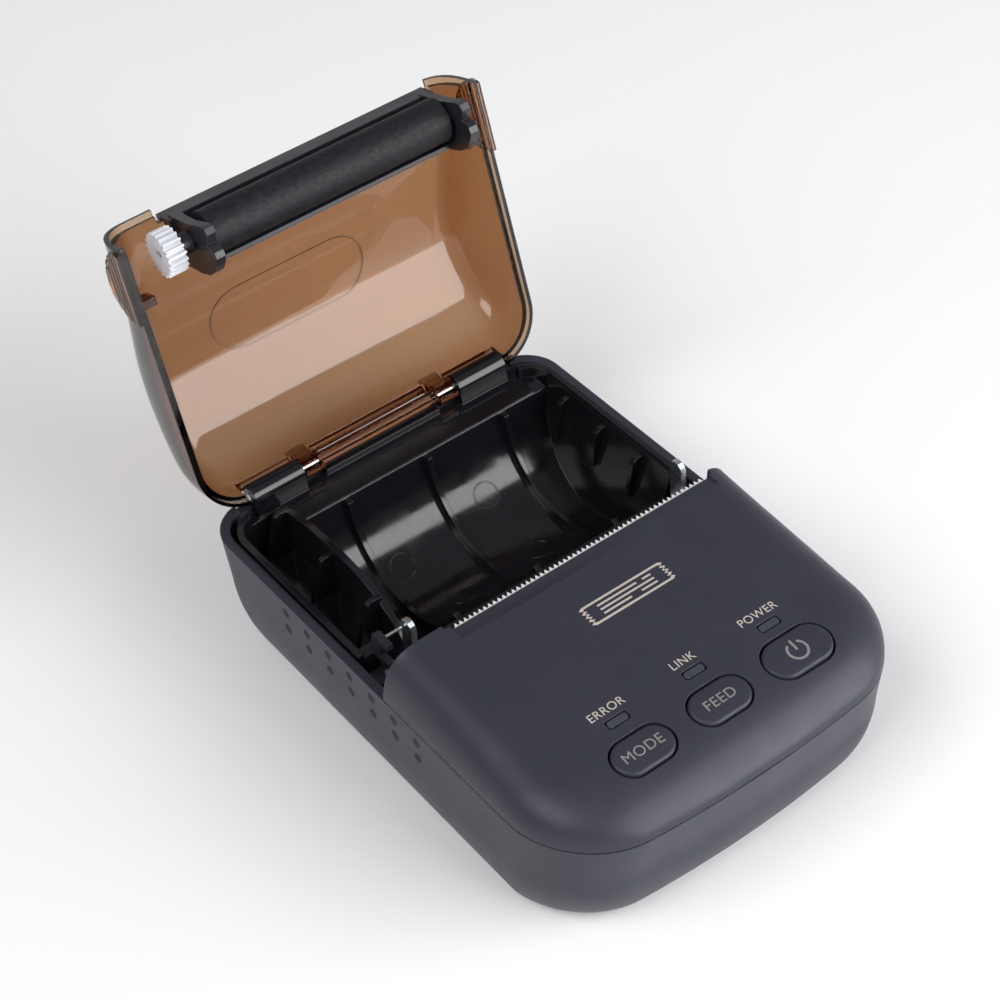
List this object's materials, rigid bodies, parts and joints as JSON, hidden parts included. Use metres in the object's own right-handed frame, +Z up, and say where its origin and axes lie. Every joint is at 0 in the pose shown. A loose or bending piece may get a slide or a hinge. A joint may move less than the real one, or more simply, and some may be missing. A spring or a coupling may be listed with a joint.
{
  "type": "receipt printer",
  "caption": "Pocket-size mobile thermal receipt printer with a hinged see-through paper lid, a serrated tear bar, control keys and status lights.",
  "frame": {"origin": "on the surface the printer stands on, under the middle of the case's length and width", "axes": "+X to the right seen from the front, +Y to the rear where the lid is hinged, +Z up"},
  "size_m": [0.0856, 0.1466, 0.0889],
  "materials": {
    "body_plastic": "satin dark blue-grey moulding",
    "tub_plastic": "glossy black moulding",
    "smoke_plastic": "glossy see-through brown moulding",
    "black_plastic": "satin black moulding",
    "rubber": "ground matt rubber",
    "gear_plastic": "natural white acetal",
    "steel": "bright cut steel",
    "zinc_steel": "zinc plated sheet",
    "brass": "turned brass",
    "ceramic": "glazed ceramic",
    "circuit_board": "green solder mask",
    "ribbon_film": "amber film",
    "cell_wrap": "blue shrink wrap",
    "lens_plastic": "grey light window"
  },
  "bodies": {
    "case": {"bottom_case": "body_plastic", "top_cover": "body_plastic", "paper_tub": "tub_plastic", "hinge_pin_left": "steel", "hinge_pin_right": "steel", "tear_bar": "steel", "print_frame": "zinc_steel", "print_head": "zinc_steel", "heater_strip": "ceramic", "head_spring": "steel", "head_ribbon": "ribbon_film", "stepper_motor": "zinc_steel", "paper_sensor": "black_plastic", "guard_arm": "black_plastic", "guard_rod": "steel", "main_board": "circuit_board", "radio_module": "zinc_steel", "buzzer": "black_plastic", "battery_pack": "cell_wrap", "battery_contacts": "black_plastic", "data_port": "steel", "charge_jack": "black_plastic", "lamp_error": "lens_plastic", "lamp_link": "lens_plastic", "lamp_power": "lens_plastic", "switch_mode": "black_plastic", "switch_feed": "black_plastic", "switch_power": "black_plastic", "foot_front_left": "rubber", "screw_front_left": "steel", "foot_front_right": "rubber", "screw_front_right": "steel", "foot_rear_left": "rubber", "screw_rear_left": "steel", "foot_rear_right": "rubber", "screw_rear_right": "steel"},
    "lid": {"lid_shell": "smoke_plastic", "lid_carrier": "black_plastic", "bushing_left": "black_plastic", "bushing_right": "black_plastic"},
    "platen": {"platen_shaft": "steel", "platen_rubber": "rubber", "platen_gear": "gear_plastic"},
    "reduction": {"reduction_gear": "gear_plastic"},
    "drive": {"drive_gear": "gear_plastic"},
    "pinion": {"motor_pinion": "brass"},
    "mode_key": {"key_mode": "body_plastic"},
    "feed_key": {"key_feed": "body_plastic"},
    "power_key": {"key_power": "body_plastic"},
    "door": {"battery_door": "body_plastic"}
  },
  "joints": [
    {"name": "lid_hinge", "type": "hinge", "parent": "case", "child": "lid", "pos_m": [0, 0.0588, 0.0282], "axis": [1, 0, 0], "range_deg": [0, 105.8]},
    {"name": "platen_spin", "type": "hinge", "parent": "lid", "child": "platen", "pos_m": [0, 0.07339, 0.08269], "axis": [1, 0, 0], "continuous": true},
    {"name": "reduction_spin", "type": "hinge", "parent": "case", "child": "reduction", "pos_m": [-0.035, -0.0071, 0.01286], "axis": [1, 0, 0], "continuous": true},
    {"name": "drive_spin", "type": "hinge", "parent": "case", "child": "drive", "pos_m": [-0.032, -0.00238, 0.01912], "axis": [1, 0, 0], "continuous": true},
    {"name": "pinion_spin", "type": "hinge", "parent": "case", "child": "pinion", "pos_m": [-0.034, 0.00301, 0.01034], "axis": [1, 0, 0], "continuous": true},
    {"name": "mode_press", "type": "slide", "parent": "case", "child": "mode_key", "axis": [0, -0.1356, 0.9908], "range_m": [-0.0005, 0], "stiffness_N_per_m": 600},
    {"name": "feed_press", "type": "slide", "parent": "case", "child": "feed_key", "axis": [0, -0.1356, 0.9908], "range_m": [-0.0005, 0], "stiffness_N_per_m": 600},
    {"name": "power_press", "type": "slide", "parent": "case", "child": "power_key", "axis": [0, -0.1356, 0.9908], "range_m": [-0.0005, 0], "stiffness_N_per_m": 600},
    {"name": "battery_door_hinge", "type": "hinge", "parent": "case", "child": "door", "pos_m": [0, -0.0487, 0.0008], "axis": [1, 0, 0], "range_deg": [-90, 0]}
  ],
  "couplings": [
    {"joint": "drive_spin", "follows": "reduction_spin", "ratio": -0.5},
    {"joint": "pinion_spin", "follows": "reduction_spin", "ratio": -3}
  ]
}
